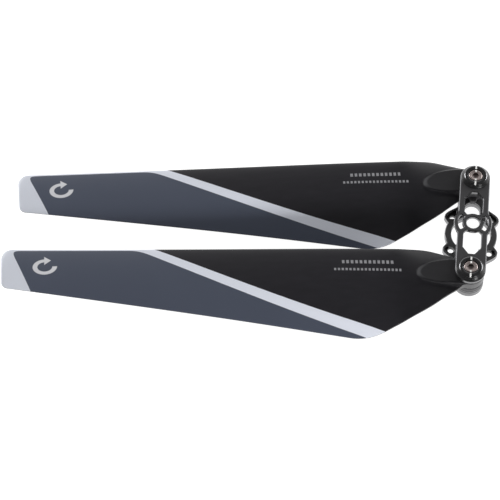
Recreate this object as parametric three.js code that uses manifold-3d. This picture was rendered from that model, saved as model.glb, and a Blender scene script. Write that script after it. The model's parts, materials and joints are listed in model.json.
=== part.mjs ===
// A two-blade folding propeller for a large multirotor drone, 21 inches (533.4 mm) across when open.
// Millimetres, +Z up. The origin is on the motor's axis, in the plane of the hub's mounting face.
// The hub's arm runs along Y, with a blade pivot at each end, and both blades lie folded towards -X.
// Threads are plain cylinders.
import * as THREE from "three";
import { mergeVertices } from "three/addons/utils/BufferGeometryUtils.js";
import Module from "manifold-3d";

const wasm = await Module();
wasm.setup();

// ---------------------------------------------------------------- driving dimensions

const ROTOR_DIAMETER = 533.4;
const PIVOT_RADIUS = 28; // motor axis to each blade's pivot
const BLADE_LENGTH = ROTOR_DIAMETER / 2 - PIVOT_RADIUS; // pivot to tip
const FOLD_PAST_X = { front: 9, rear: 11.4 }; // degrees from -X towards -Y at which each blade lies
const RUNNING_GAP = 0.03; // between a blade's root and the washers it turns on
const SEAT_GAP = 0.05; // between pieces that sit inside each other

// Heights of the hub's layers.
const RING_TOP = 3.5;
const ARM_TOP = 4.5;
const LOWER_WASHER_TOP = 6.9;
const UPPER_WASHER_BOTTOM = 12.5;
const PLATE_BOTTOM = 13;
const PLATE_TOP = 15;
const BOSS_TOP = 17.2;
const ROOT_BOTTOM = LOWER_WASHER_TOP + RUNNING_GAP;
const ROOT_TOP = UPPER_WASHER_BOTTOM - RUNNING_GAP;

// Top plate.
const PLATE_HALF_WIDTH = 7.75;
const COLLAR_OUTER = 9.85; // the round collar that swells out of the plate's middle
const COLLAR_INNER = 7.8;
const CENTRE_RING_OUTER = 5.5;
const CENTRE_BORE = 3.4;
const COLLAR_WINDOW_ANGLE = THREE.MathUtils.degToRad(36); // half of each side window's arc
const BOSS_TOP_RADIUS = 5.6;

// Base plate, which bolts to the motor.
const BASE_HALF_WIDTH = 7.6;
const RING_OUTER = 13.6;
const RING_INNER = 10.25;
const BOLT_CIRCLE = 28;
const BOLT_HOLE = 1.6;
const SLOT_HALF_WIDTH = 4;
const SLOT_END = 19.1; // how far the slot in each arm reaches from the motor axis
const POCKET_FLOOR = 1.8;

// Pivot hardware, an M4 low-head socket screw and what it clamps.
const SCREW_RADIUS = 2;
const SCREW_BOTTOM = 0.8;
const HEAD_RADIUS = 3.5;
const HEAD_TOP = 17;
const HEAD_HEIGHT = 2.2;
const SOCKET_ACROSS_FLATS = 3;
const SOCKET_DEPTH = 1.4;
const SCREW_WASHER_THICKNESS = 0.3;
const COUNTERBORE_RADIUS = 3.9;
const COUNTERBORE_FLOOR = HEAD_TOP - HEAD_HEIGHT - SCREW_WASHER_THICKNESS;
const CLEARANCE_RADIUS = 2.2;
const SLEEVE_OUTER = 3;
const BUSH_BORE = SLEEVE_OUTER + 0.08;
const BUSH_OUTER = 4.2;
const FRICTION_WASHER_RADIUS = 7.5;
const WASHER_BORE = SLEEVE_OUTER + 0.2;
const KEY_HALF_WIDTH = 1.9; // the lower washer's key, which hangs over the end of the arm's slot
const KEY_REACH = 9.9; // from the pivot, towards the motor axis
const INSERT_RADIUS = 3;
const INSERT_FLANGE_RADIUS = 3.8;
const INSERT_FLANGE_HEIGHT = 0.8;

// Blade, in its own frame: u runs from the pivot to the tip, v from the leading to the trailing edge.
const BLADE_MID_HEIGHT = 8.8; // of the line that the blade is twisted about
const PITCH = 9 * 25.4; // advance per turn
const MOST_PITCH_ANGLE = 20; // degrees
const TWIST_START = 12; // from the pivot; the root is flat up to here
const TWIST_LENGTH = 26; // over which the blade reaches its full pitch angle
const PITCH_LIMIT_SHARPNESS = 6;
const LEADING_AT_PIVOT = -12.25; // the straight leading edge, carried back to the pivot
const LEADING_SLOPE = -0.0553;
const NECK_DEPTH = 4.95; // how far the leading edge draws in at the pivot
const NECK_LENGTH = 34;
const FLARE_AT_PIVOT = 5.17; // the trailing edge widens from here
const FLARE_SLOPE = 0.463;
const TAPER_REACH = 66; // from the pivot, where the trailing edge starts its taper
const TAPER_AT_START = 27.8;
const TAPER_SLOPE = -0.1798;
const TAPER_BEND = -4.5e-5;
const FLARE_TAPER_BLEND = 6;
const ROOT_RADIUS = 7.5;
const WASHER_RELIEF = 0.7; // kept clear round the lower washer, under the wing
const ROOT_THICKNESS = 5.6;
const TIP_THICKNESS = 1.4;
const THINNING_POWER = 1.6; // how quickly the thickness falls from root to tip
const EDGE_THICKNESS = 0.5; // of the trailing edge
const CAMBER = 0.035; // as a share of the chord
const FULL_CAMBER_REACH = 60; // from the pivot
const SHOULDER_REACH = 19; // where the blade's shoulder stands out most from its straight edges
const SHOULDER_SPREAD = 9.5;
const SHOULDER_GAIN = 0.11; // as a share of the width
const TIP_LEADING_RADIUS = 5.7;
const TIP_TRAILING_RADIUS = 2.8;
const TONGUE_CENTRE = -0.9; // the flat pad on the root, which ends in half an ellipse
const TONGUE_STRAIGHT = 9;
const TONGUE_REACH = 27.3;
const TONGUE_HALF_WIDTH = 7;

const ROUND = 32; // segments in a full circle of the small hardware
const RING_SEGMENTS = 64;
const ROOT_SEGMENTS = 48;
const HEXAGON = 6;
const ARC = 12; // segments in each curve of a plate's outline
const WELD_DISTANCE = 1e-4; // corners closer than this are one
const OVERLAP = 1; // how far a cut or a joined solid runs past the face it meets
const BASE_CUT_RISE = 5; // how far above the motor ring the base's cuts run, to clear the arm

// ---------------------------------------------------------------- solids

function toSolid(geometry) {
  const bare = geometry.clone();
  bare.deleteAttribute("normal");
  bare.deleteAttribute("uv");
  const merged = mergeVertices(bare, WELD_DISTANCE);
  return new wasm.Manifold(
    new wasm.Mesh({
      numProp: 3,
      vertProperties: merged.getAttribute("position").array,
      triVerts: new Uint32Array(merged.index.array),
    }),
  );
}

function toGeometry(solid) {
  const mesh = solid.getMesh();
  const geometry = new THREE.BufferGeometry();
  geometry.setAttribute("position", new THREE.BufferAttribute(mesh.vertProperties, 3));
  geometry.setIndex(new THREE.BufferAttribute(mesh.triVerts, 1));
  geometry.computeVertexNormals();
  return geometry;
}

// Adds every geometry of one list and takes away every geometry of the other.
function carve(added, removed = []) {
  let solid = toSolid(added[0]);
  for (const geometry of added.slice(1)) solid = solid.add(toSolid(geometry));
  for (const geometry of removed) solid = solid.subtract(toSolid(geometry));
  return toGeometry(solid);
}

// A shape of the XY plane, raised between two heights.
function slab(shape, bottom, top) {
  const geometry = new THREE.ExtrudeGeometry(shape, {
    depth: top - bottom,
    bevelEnabled: false,
    curveSegments: ARC,
  });
  return geometry.translate(0, 0, bottom);
}

// A profile of [radius, height] pairs, anticlockwise, turned about the Z axis.
function turned(profile, segments = ROUND) {
  const points = profile.map(([radius, height]) => new THREE.Vector2(radius, height));
  return new THREE.LatheGeometry(points, segments).rotateX(Math.PI / 2);
}

function disc(radius, bottom, top, segments = ROUND) {
  return turned([[0, bottom], [radius, bottom], [radius, top], [0, top]], segments);
}

function tube(inner, outer, bottom, top) {
  return turned([[inner, bottom], [outer, bottom], [outer, top], [inner, top], [inner, bottom]]);
}

function at(geometry, x, y) {
  return geometry.clone().translate(x, y, 0);
}

const PIVOTS = [-PIVOT_RADIUS, PIVOT_RADIUS];

// ---------------------------------------------------------------- top plate

// The arm with its round ends, swelling into the collar in the middle.
function plateOutline() {
  const meet = Math.sqrt(COLLAR_OUTER ** 2 - PLATE_HALF_WIDTH ** 2);
  const angle = Math.asin(meet / COLLAR_OUTER);
  const shape = new THREE.Shape();
  shape.moveTo(PLATE_HALF_WIDTH, meet);
  shape.absarc(0, PIVOT_RADIUS, PLATE_HALF_WIDTH, 0, Math.PI, false);
  shape.absarc(0, 0, COLLAR_OUTER, Math.PI - angle, Math.PI + angle, false);
  shape.absarc(0, -PIVOT_RADIUS, PLATE_HALF_WIDTH, Math.PI, 2 * Math.PI, false);
  shape.absarc(0, 0, COLLAR_OUTER, -angle, angle, false);
  return shape;
}

// The window on one side of the centre ring, from its straight sides to its narrowed outer end.
function armWindow(side) {
  const halfWidth = 4.6;
  const endHalfWidth = 1.6;
  const innerCorner = 6.4;
  const outerCorner = 15;
  const outerEnd = 18.8;
  const ringHalfWidth = 3; // of the arc that the window takes from the centre ring's side
  const ringMeet = Math.acos(ringHalfWidth / CENTRE_RING_OUTER);
  const hole = new THREE.Path();
  hole.moveTo(halfWidth, side * innerCorner);
  hole.lineTo(halfWidth, side * outerCorner);
  hole.lineTo(endHalfWidth, side * outerEnd);
  hole.lineTo(-endHalfWidth, side * outerEnd);
  hole.lineTo(-halfWidth, side * outerCorner);
  hole.lineTo(-halfWidth, side * innerCorner);
  hole.absarc(0, 0, CENTRE_RING_OUTER, side * (Math.PI - ringMeet), side * ringMeet, side > 0);
  hole.closePath();
  return hole;
}

// The small window between the centre ring and the collar.
function collarWindow(middle) {
  const start = middle - COLLAR_WINDOW_ANGLE;
  const end = middle + COLLAR_WINDOW_ANGLE;
  const hole = new THREE.Path();
  hole.absarc(0, 0, COLLAR_INNER, start, end, false);
  hole.absarc(0, 0, CENTRE_RING_OUTER, end, start, true);
  hole.closePath();
  return hole;
}

function topPlate() {
  const outline = plateOutline();
  const bore = new THREE.Path();
  bore.absarc(0, 0, CENTRE_BORE, 0, 2 * Math.PI, true);
  outline.holes.push(armWindow(1), armWindow(-1), collarWindow(0), collarWindow(Math.PI), bore);
  const boss = turned([
    [0, PLATE_TOP - OVERLAP],
    [PLATE_HALF_WIDTH - SEAT_GAP, PLATE_TOP - OVERLAP],
    [PLATE_HALF_WIDTH - SEAT_GAP, PLATE_TOP],
    [BOSS_TOP_RADIUS, BOSS_TOP],
    [0, BOSS_TOP],
  ]);
  const screwHole = turned([
    [0, PLATE_BOTTOM - OVERLAP],
    [CLEARANCE_RADIUS, PLATE_BOTTOM - OVERLAP],
    [CLEARANCE_RADIUS, COUNTERBORE_FLOOR],
    [COUNTERBORE_RADIUS, COUNTERBORE_FLOOR],
    [COUNTERBORE_RADIUS, BOSS_TOP + OVERLAP],
    [0, BOSS_TOP + OVERLAP],
  ]);
  return carve(
    [slab(outline, PLATE_BOTTOM, PLATE_TOP), ...PIVOTS.map((y) => at(boss, 0, y))],
    PIVOTS.map((y) => at(screwHole, 0, y)),
  );
}

// ---------------------------------------------------------------- base plate

// Calls build(x, y) for the four quarters of the base, with x and y each 1 or -1.
function inQuarters(build) {
  return [[1, 1], [-1, 1], [-1, -1], [1, -1]].map(([x, y]) => build(x, y));
}

function mirrored(points, x, y) {
  const placed = points.map(([px, py]) => new THREE.Vector2(x * px, y * py));
  return x * y > 0 ? placed : placed.reverse();
}

// An ear that carries a bolt hole, from a notch in the ring's rim round to the arm's side.
const LUG = [[8, 4], [12.1, 6.2], [13.8, 8.6], [14.25, 9.6], [14.1, 10.9], [13.4, 12.1], [12.2, 13.3], [7, 17], [5, 11]];
// The pocket in the ear's top for the bolt's head, which leaves a rim round the ear's edge.
const LUG_POCKET = [[12.2, 8.4], [13, 9.7], [12.9, 10.7], [12.2, 11.7], [9, 14.3], [8.2, 13.9], [7.9, 10.6], [9.2, 8.6]];

function baseArm() {
  const shape = new THREE.Shape();
  shape.absarc(0, PIVOT_RADIUS, BASE_HALF_WIDTH, 0, Math.PI, false);
  shape.absarc(0, -PIVOT_RADIUS, BASE_HALF_WIDTH, Math.PI, 2 * Math.PI, false);
  return shape;
}

function armSlots() {
  const centre = SLOT_END - SLOT_HALF_WIDTH;
  const shape = new THREE.Shape();
  shape.absarc(0, centre, SLOT_HALF_WIDTH, 0, Math.PI, false);
  shape.absarc(0, -centre, SLOT_HALF_WIDTH, Math.PI, 2 * Math.PI, false);
  return shape;
}

function basePlate() {
  const boltOffset = BOLT_CIRCLE / 2 / Math.SQRT2;
  const through = RING_TOP + BASE_CUT_RISE;
  const lugs = inQuarters((x, y) => slab(new THREE.Shape(mirrored(LUG, x, y)), 0, RING_TOP));
  const pockets = inQuarters((x, y) => slab(new THREE.Shape(mirrored(LUG_POCKET, x, y)), POCKET_FLOOR, through));
  const bolts = inQuarters((x, y) => at(disc(BOLT_HOLE, -OVERLAP, through), x * boltOffset, y * boltOffset));
  const insertSeat = turned([
    [0, -OVERLAP],
    [INSERT_FLANGE_RADIUS + SEAT_GAP, -OVERLAP],
    [INSERT_FLANGE_RADIUS + SEAT_GAP, INSERT_FLANGE_HEIGHT],
    [INSERT_RADIUS + SEAT_GAP, INSERT_FLANGE_HEIGHT],
    [INSERT_RADIUS + SEAT_GAP, through],
    [0, through],
  ]);
  return carve(
    [disc(RING_OUTER, 0, RING_TOP, RING_SEGMENTS), ...lugs, slab(baseArm(), 0, ARM_TOP)],
    [
      disc(RING_INNER, -OVERLAP, through, RING_SEGMENTS),
      slab(armSlots(), -OVERLAP, through),
      ...pockets,
      ...bolts,
      ...PIVOTS.map((y) => at(insertSeat, 0, y)),
    ],
  );
}

// ---------------------------------------------------------------- pivot hardware, centred on its pivot

function pivotScrew() {
  const chamfer = 0.35;
  const headBottom = HEAD_TOP - HEAD_HEIGHT;
  const body = turned([
    [0, SCREW_BOTTOM],
    [SCREW_RADIUS - chamfer, SCREW_BOTTOM],
    [SCREW_RADIUS, SCREW_BOTTOM + chamfer],
    [SCREW_RADIUS, headBottom],
    [HEAD_RADIUS, headBottom],
    [HEAD_RADIUS, HEAD_TOP - chamfer],
    [HEAD_RADIUS - chamfer, HEAD_TOP],
    [0, HEAD_TOP],
  ]);
  const socketRadius = SOCKET_ACROSS_FLATS / Math.sqrt(3);
  const socket = disc(socketRadius, HEAD_TOP - SOCKET_DEPTH, HEAD_TOP + OVERLAP, HEXAGON);
  return carve([body], [socket]);
}

// The washer under a blade's root. Its key points to the motor axis and stops it turning.
function keyedWasher(side) {
  const meet = Math.acos(KEY_HALF_WIDTH / FRICTION_WASHER_RADIUS);
  const shape = new THREE.Shape();
  shape.absarc(0, 0, FRICTION_WASHER_RADIUS, -meet, Math.PI + meet, false);
  shape.absarc(0, KEY_HALF_WIDTH - KEY_REACH, KEY_HALF_WIDTH, Math.PI, 2 * Math.PI, false);
  const bore = new THREE.Path();
  bore.absarc(0, 0, WASHER_BORE, 0, 2 * Math.PI, true);
  shape.holes.push(bore);
  const geometry = slab(shape, ARM_TOP, LOWER_WASHER_TOP);
  return side > 0 ? geometry : geometry.rotateZ(Math.PI);
}

function threadedInsert() {
  const bore = SCREW_RADIUS + SEAT_GAP;
  return turned([
    [bore, 0],
    [INSERT_FLANGE_RADIUS, 0],
    [INSERT_FLANGE_RADIUS, INSERT_FLANGE_HEIGHT - SEAT_GAP],
    [INSERT_RADIUS, INSERT_FLANGE_HEIGHT - SEAT_GAP],
    [INSERT_RADIUS, ARM_TOP],
    [bore, ARM_TOP],
    [bore, 0],
  ]);
}

// ---------------------------------------------------------------- blade

// The lower of a and b, rounded off where they cross, over a band of the given width.
function smoothLower(a, b, width) {
  const share = Math.max(width - Math.abs(a - b), 0) / width;
  return Math.min(a, b) - (share * share * width) / 4;
}

// How far a rounded corner at the tip has cut into the edge at u.
function tipCorner(u, radius) {
  const past = Math.max(u - (BLADE_LENGTH - radius), 0);
  return radius - Math.sqrt(Math.max(radius ** 2 - past ** 2, 0));
}

function shoulder(u) {
  return 1 + SHOULDER_GAIN * Math.exp(-(((u - SHOULDER_REACH) / SHOULDER_SPREAD) ** 2));
}

function leadingEdge(u) {
  const straight = LEADING_AT_PIVOT + LEADING_SLOPE * u;
  const neck = NECK_DEPTH * Math.max(1 - u / NECK_LENGTH, 0) ** 3;
  return (straight + neck) * shoulder(u) + tipCorner(u, TIP_LEADING_RADIUS);
}

function trailingEdge(u) {
  const flare = FLARE_AT_PIVOT + FLARE_SLOPE * u;
  const past = u - TAPER_REACH;
  const taper = TAPER_AT_START + TAPER_SLOPE * past + TAPER_BEND * past ** 2;
  return smoothLower(flare, taper, FLARE_TAPER_BLEND) * shoulder(u) - tipCorner(u, TIP_TRAILING_RADIUS);
}

// The blade's angle at u: that of a screw of constant pitch, with a soft limit, fading out at the root.
function pitchAngle(u) {
  const helix = THREE.MathUtils.radToDeg(Math.atan(PITCH / (2 * Math.PI * (u + PIVOT_RADIUS))));
  const power = -PITCH_LIMIT_SHARPNESS;
  const limited = (helix ** power + MOST_PITCH_ANGLE ** power) ** (1 / power);
  return THREE.MathUtils.degToRad(limited * THREE.MathUtils.smoothstep(u, TWIST_START, TWIST_START + TWIST_LENGTH));
}

function bladeThickness(u) {
  return TIP_THICKNESS + (ROOT_THICKNESS - TIP_THICKNESS) * (1 - u / BLADE_LENGTH) ** THINNING_POWER;
}

// A point of the wing section at u, a share x of the way along the chord, on its top (1) or underside (-1).
function sectionPoint(u, x, side) {
  const pitch = pitchAngle(u);
  const along = leadingEdge(u) + x * (trailingEdge(u) - leadingEdge(u));
  const chord = (trailingEdge(u) - leadingEdge(u)) / Math.cos(pitch);
  // The usual four-digit wing section: its thickness curve, on a parabolic camber line.
  const shape = 0.2969 * Math.sqrt(x) - 0.126 * x - 0.3516 * x ** 2 + 0.2843 * x ** 3 - 0.1036 * x ** 4;
  const camber = CAMBER * THREE.MathUtils.smoothstep(u, 0, FULL_CAMBER_REACH);
  const offset = 4 * camber * chord * x * (1 - x) + side * (5 * bladeThickness(u) * shape + (x * EDGE_THICKNESS) / 2);
  return new THREE.Vector3(
    u,
    along + offset * Math.sin(pitch),
    -along * Math.tan(pitch) + offset * Math.cos(pitch),
  );
}

// Where the sections stand: closer together at the root, at the widest part and at the rounded tip.
function sectionPlaces() {
  const places = [];
  const first = 2;
  const fineEnd = 72;
  const fineStep = 4;
  const coarseStep = 12;
  const coarseEnd = BLADE_LENGTH - 8;
  for (let u = first; u < fineEnd; u += fineStep) places.push(u);
  for (let u = fineEnd; u < coarseEnd; u += coarseStep) places.push(u);
  const cornerSteps = 6;
  for (let step = 0; step < cornerSteps; step += 1) {
    const angle = (step / cornerSteps) * (Math.PI / 2);
    places.push(BLADE_LENGTH - TIP_LEADING_RADIUS * (1 - Math.sin(angle)));
  }
  places.push(BLADE_LENGTH);
  return places;
}

// The wing as one closed surface: each section's top from front to back, then its underside back again.
function wing() {
  const steps = 10;
  const places = sectionPlaces();
  const shares = Array.from({ length: steps + 1 }, (_, k) => (1 - Math.cos((Math.PI * k) / steps)) / 2);
  const loop = 2 * steps + 1;
  const positions = [];
  for (const u of places) {
    for (let k = 0; k <= steps; k += 1) positions.push(...sectionPoint(u, shares[k], 1));
    for (let k = steps; k > 0; k -= 1) positions.push(...sectionPoint(u, shares[k], -1));
  }
  const indices = [];
  for (let station = 0; station < places.length - 1; station += 1) {
    for (let j = 0; j < loop; j += 1) {
      const a = station * loop + j;
      const b = station * loop + ((j + 1) % loop);
      indices.push(a, a + loop, b + loop, a, b + loop, b);
    }
  }
  const last = (places.length - 1) * loop;
  for (let k = 0; k < steps; k += 1) {
    const under = (loop - k) % loop;
    const nextUnder = loop - k - 1;
    indices.push(k, k + 1, nextUnder, last + k, last + nextUnder, last + k + 1);
    if (k > 0) indices.push(k, nextUnder, under, last + k, last + under, last + nextUnder);
  }
  const geometry = new THREE.BufferGeometry();
  geometry.setAttribute("position", new THREE.Float32BufferAttribute(positions, 3));
  geometry.setIndex(indices);
  return geometry.translate(0, 0, BLADE_MID_HEIGHT);
}

function tongueOutline() {
  const inset = 0.1; // keeps the pad's inner end inside the round root
  const shape = new THREE.Shape();
  shape.moveTo(0, ROOT_RADIUS - inset);
  shape.lineTo(0, -ROOT_RADIUS + inset);
  shape.absellipse(
    TONGUE_STRAIGHT,
    TONGUE_CENTRE,
    TONGUE_REACH - TONGUE_STRAIGHT,
    TONGUE_HALF_WIDTH,
    -Math.PI / 2,
    Math.PI / 2,
    false,
    0,
  );
  return shape;
}

// One moulding: the wing, the round root that sits between the hub's plates, and the pad that joins them.
function blade() {
  const root = disc(ROOT_RADIUS, ROOT_BOTTOM, ROOT_TOP, ROOT_SEGMENTS);
  const tongue = slab(tongueOutline(), ROOT_BOTTOM, ROOT_TOP);
  const bushSeat = disc(BUSH_OUTER + SEAT_GAP, ROOT_BOTTOM - OVERLAP, ROOT_TOP + OVERLAP);
  const washerRelief = disc(FRICTION_WASHER_RADIUS + WASHER_RELIEF, ARM_TOP - 2 * OVERLAP, ROOT_BOTTOM);
  return carve([wing(), root, tongue], [bushSeat, washerRelief]);
}

// ---------------------------------------------------------------- materials and assembly

const anodised = new THREE.MeshStandardMaterial({ color: 0x2b2a2d, roughness: 0.42, metalness: 0.6 });
const composite = new THREE.MeshStandardMaterial({ color: 0x262528, roughness: 0.55, metalness: 0 });
const steel = new THREE.MeshStandardMaterial({ color: 0x9a9293, roughness: 0.3, metalness: 1 });
const bronze = new THREE.MeshStandardMaterial({ color: 0x9c7a45, roughness: 0.4, metalness: 1 });
const nylon = new THREE.MeshStandardMaterial({ color: 0x4a494c, roughness: 0.6, metalness: 0 });

function piece(name, geometry, material) {
  const mesh = new THREE.Mesh(geometry, material);
  mesh.name = name;
  return mesh;
}

const propeller = new THREE.Group();
propeller.add(piece("top_plate", topPlate(), anodised));
propeller.add(piece("base_plate", basePlate(), anodised));

for (const [end, side] of [["front", -1], ["rear", 1]]) {
  const pivot = new THREE.Group();
  pivot.position.y = side * PIVOT_RADIUS;
  pivot.add(
    piece(`pivot_screw_${end}`, pivotScrew(), steel),
    piece(`screw_washer_${end}`, tube(CLEARANCE_RADIUS, HEAD_RADIUS, COUNTERBORE_FLOOR, HEAD_TOP - HEAD_HEIGHT), steel),
    piece(`pivot_sleeve_${end}`, tube(SCREW_RADIUS + SEAT_GAP, SLEEVE_OUTER, ARM_TOP, PLATE_BOTTOM), steel),
    piece(
      `upper_friction_washer_${end}`,
      tube(WASHER_BORE, FRICTION_WASHER_RADIUS, UPPER_WASHER_BOTTOM, PLATE_BOTTOM),
      nylon,
    ),
    piece(`lower_friction_washer_${end}`, keyedWasher(side), nylon),
    piece(`threaded_insert_${end}`, threadedInsert(), steel),
  );
  const folded = new THREE.Group();
  folded.rotation.z = Math.PI + THREE.MathUtils.degToRad(FOLD_PAST_X[end]);
  folded.add(
    piece(`blade_${end}`, blade(), composite),
    piece(`root_bush_${end}`, tube(BUSH_BORE, BUSH_OUTER, ROOT_BOTTOM, ROOT_TOP), bronze),
  );
  pivot.add(folded);
  propeller.add(pivot);
}

export default propeller;
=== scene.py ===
"""The visible model of a two-blade folding propeller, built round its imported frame. Metres, +Z up.

Shapes are worked out in millimetres and scaled as they become meshes. The hub's arm runs along Y.
A blade is made in its own frame: x runs from the pivot to the tip, y from the leading to the
trailing edge.
"""
import json
import math

import bmesh
import bpy
import numpy as np
from mathutils import Matrix, Vector


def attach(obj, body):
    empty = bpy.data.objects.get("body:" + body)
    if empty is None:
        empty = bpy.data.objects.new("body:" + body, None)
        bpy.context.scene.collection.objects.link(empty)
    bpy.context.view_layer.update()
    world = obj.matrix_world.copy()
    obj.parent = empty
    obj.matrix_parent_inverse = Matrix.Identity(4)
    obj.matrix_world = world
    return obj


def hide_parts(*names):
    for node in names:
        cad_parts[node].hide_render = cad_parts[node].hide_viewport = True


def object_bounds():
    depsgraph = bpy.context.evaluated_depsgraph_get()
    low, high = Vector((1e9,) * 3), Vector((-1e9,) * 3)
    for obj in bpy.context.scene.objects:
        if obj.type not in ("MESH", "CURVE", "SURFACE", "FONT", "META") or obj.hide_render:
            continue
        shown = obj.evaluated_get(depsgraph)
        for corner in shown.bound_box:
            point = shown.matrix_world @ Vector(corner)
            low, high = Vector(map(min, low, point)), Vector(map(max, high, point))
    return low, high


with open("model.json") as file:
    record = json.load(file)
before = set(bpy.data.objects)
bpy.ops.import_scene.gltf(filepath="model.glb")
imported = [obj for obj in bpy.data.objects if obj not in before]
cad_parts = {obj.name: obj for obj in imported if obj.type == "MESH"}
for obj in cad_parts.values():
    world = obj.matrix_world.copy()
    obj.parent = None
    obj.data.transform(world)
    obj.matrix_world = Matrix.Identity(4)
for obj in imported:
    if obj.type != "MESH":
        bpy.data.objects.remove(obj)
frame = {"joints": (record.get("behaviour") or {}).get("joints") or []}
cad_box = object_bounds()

MM = 0.001
PIVOT_RADIUS = abs(frame["joints"][0]["pos_m"][1]) / MM
ENDS = {"front": -1, "rear": 1}
FOLD_PAST_X = {"front": 9, "rear": 11.4}  # degrees from -X towards -Y at which each blade lies

# Heights of the hub's layers.
RING_TOP = 3.5
ARM_TOP = 4.5
LOWER_WASHER_TOP = 6.9
UPPER_WASHER_BOTTOM = 12.5
PLATE_BOTTOM = 13
PLATE_TOP = 15
BOSS_TOP = 17.2
HEAD_TOP = 17
RUNNING_GAP = 0.03
ROOT_BOTTOM = LOWER_WASHER_TOP + RUNNING_GAP
ROOT_TOP = UPPER_WASHER_BOTTOM - RUNNING_GAP

FINE = 96  # segments in a full circle
HEXAGON = 6
CORNER_SHARE = 0.45  # the most of a side that one rounded corner may take
MITRE_LIMIT = 0.3  # keeps the offset of a sharp corner short
SAME_POINT = 1e-6  # millimetres
WELD = 1e-8  # metres
CREASE = 50  # degrees: an edge that turns more than this is shaded sharp


# ---------- outlines, in millimetres


def arc(centre, radius, start, end, steps):
    """Points along an arc, from one angle in degrees to another."""
    return [
        (centre[0] + radius * math.cos(a), centre[1] + radius * math.sin(a))
        for a in np.radians(np.linspace(start, end, steps + 1))
    ]


def circle(centre, radius, hole=False, segments=FINE):
    points = arc(centre, radius, 0, 360, segments)[:-1]
    return points[::-1] if hole else points


def rounded(points, radius, steps=5):
    """A polygon with each corner turned into an arc."""
    out = []
    for i, corner in enumerate(points):
        here = Vector(corner)
        back = Vector(points[i - 1]) - here
        on = Vector(points[(i + 1) % len(points)]) - here
        angle = back.angle(on)
        reach = min(radius / math.tan(angle / 2), CORNER_SHARE * min(back.length, on.length))
        true_radius = reach * math.tan(angle / 2)
        middle = here + (back.normalized() + on.normalized()).normalized() * (
            true_radius / math.sin(angle / 2)
        )
        first = here + back.normalized() * reach - middle
        turn = first.angle_signed(here + on.normalized() * reach - middle)
        for k in range(steps + 1):
            out.append(tuple(middle + Matrix.Rotation(-turn * k / steps, 2) @ first))
    return out


def both_ways(points):
    """The quarter outline from +X to +Y, carried round all four quarters, anticlockwise."""
    whole = list(points)
    whole += [(-x, y) for x, y in reversed(points)]
    whole += [(-x, -y) for x, y in points]
    whole += [(x, -y) for x, y in reversed(points)]
    kept = []
    for p in whole:
        if not kept or math.dist(p, kept[-1]) > SAME_POINT:
            kept.append(p)
    return kept[:-1] if math.dist(kept[0], kept[-1]) < SAME_POINT else kept


def at_end(loop, side):
    """A loop drawn for the rear end (1), or turned half round the motor axis for the front end (-1)."""
    return [(side * x, side * y) for x, y in loop]


def eased(start, corner, end, steps):
    """Points along a curve from start to end that bends towards the corner."""
    return [
        tuple((1 - t) ** 2 * start + 2 * t * (1 - t) * corner + t * t * end)
        for t in np.linspace(0, 1, steps + 1)
    ]


def into_material(loop, distance):
    """The loop moved sideways to its left, which is into the material of an anticlockwise outline
    and of a clockwise hole."""
    p = np.array(loop, float)
    along = np.roll(p, -1, 0) - p
    along /= np.linalg.norm(along, axis=1)[:, None]
    left = np.stack([-along[:, 1], along[:, 0]], 1)
    both = left + np.roll(left, 1, 0)
    both /= np.maximum((both * both).sum(1) / 2, MITRE_LIMIT)[:, None]
    return p + both * distance


# ---------- solids


class Solid:
    """A mesh built up from rings of points, with walls between the rings and flat caps across them."""

    def __init__(self):
        self.bm = bmesh.new()

    def vert(self, x, y, height):
        return self.bm.verts.new((x * MM, y * MM, height * MM))

    def ring(self, loop, height):
        return [self.vert(x, y, height) for x, y in loop]

    def wall(self, rings, material=0):
        for low, high in zip(rings, rings[1:]):
            for i in range(len(low)):
                j = (i + 1) % len(low)
                self.bm.faces.new((low[i], low[j], high[j], high[i])).material_index = material

    def cap(self, rings):
        """A flat face between the rings, in the first material slot."""
        edges = []
        for ring in rings:
            for i, vert in enumerate(ring):
                pair = (vert, ring[(i + 1) % len(ring)])
                edges.append(self.bm.edges.get(pair) or self.bm.edges.new(pair))
        made = bmesh.ops.triangle_fill(self.bm, use_beauty=True, edges=edges, normal=(0, 0, 1))
        for face in made["geom"]:
            if isinstance(face, bmesh.types.BMFace):
                face.material_index = 0

    def caps(self, *ends):
        for rings in ends:
            self.cap(rings)

    def side(self, loop, bottom, top, low_edge, high_edge, material=0, bright=None):
        """An upright wall round a loop, with chamfered edges. Returns its lowest and highest ring."""
        edge = material if bright is None else bright
        rings = [self.ring(loop, bottom + low_edge), self.ring(loop, top - high_edge)]
        self.wall(rings, material)
        if low_edge:
            rings.insert(0, self.ring(into_material(loop, low_edge), bottom))
            self.wall(rings[:2], edge)
        if high_edge:
            rings.append(self.ring(into_material(loop, high_edge), top))
            self.wall(rings[-2:], edge)
        return rings[0], rings[-1]

    def turned(self, profile, centre=(0, 0), materials=None):
        """Rings for each [radius, height] of a profile, with walls between. A radius of 0 is a point."""
        rings = []
        for radius, height in profile:
            if radius:
                rings.append(self.ring(circle(centre, radius), height))
            else:
                rings.append([self.vert(*centre, height)])
        for k, (a, b) in enumerate(zip(rings, rings[1:])):
            material = materials[k] if materials else 0
            if len(a) == len(b):
                self.wall([a, b], material)
                continue
            point, loop = (a, b) if len(a) == 1 else (b, a)
            for i in range(len(loop)):
                face = self.bm.faces.new((point[0], loop[i], loop[(i + 1) % len(loop)]))
                face.material_index = material
        return rings[0], rings[-1]

    def object(self, name, crease=CREASE):
        bmesh.ops.remove_doubles(self.bm, verts=self.bm.verts, dist=WELD)
        bmesh.ops.recalc_face_normals(self.bm, faces=self.bm.faces)
        mesh = bpy.data.meshes.new(name)
        self.bm.to_mesh(mesh)
        self.bm.free()
        return smooth(add_object(name, mesh), crease)


def add_object(name, data):
    made = bpy.data.objects.new(name, data)
    bpy.context.scene.collection.objects.link(made)
    return made


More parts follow.
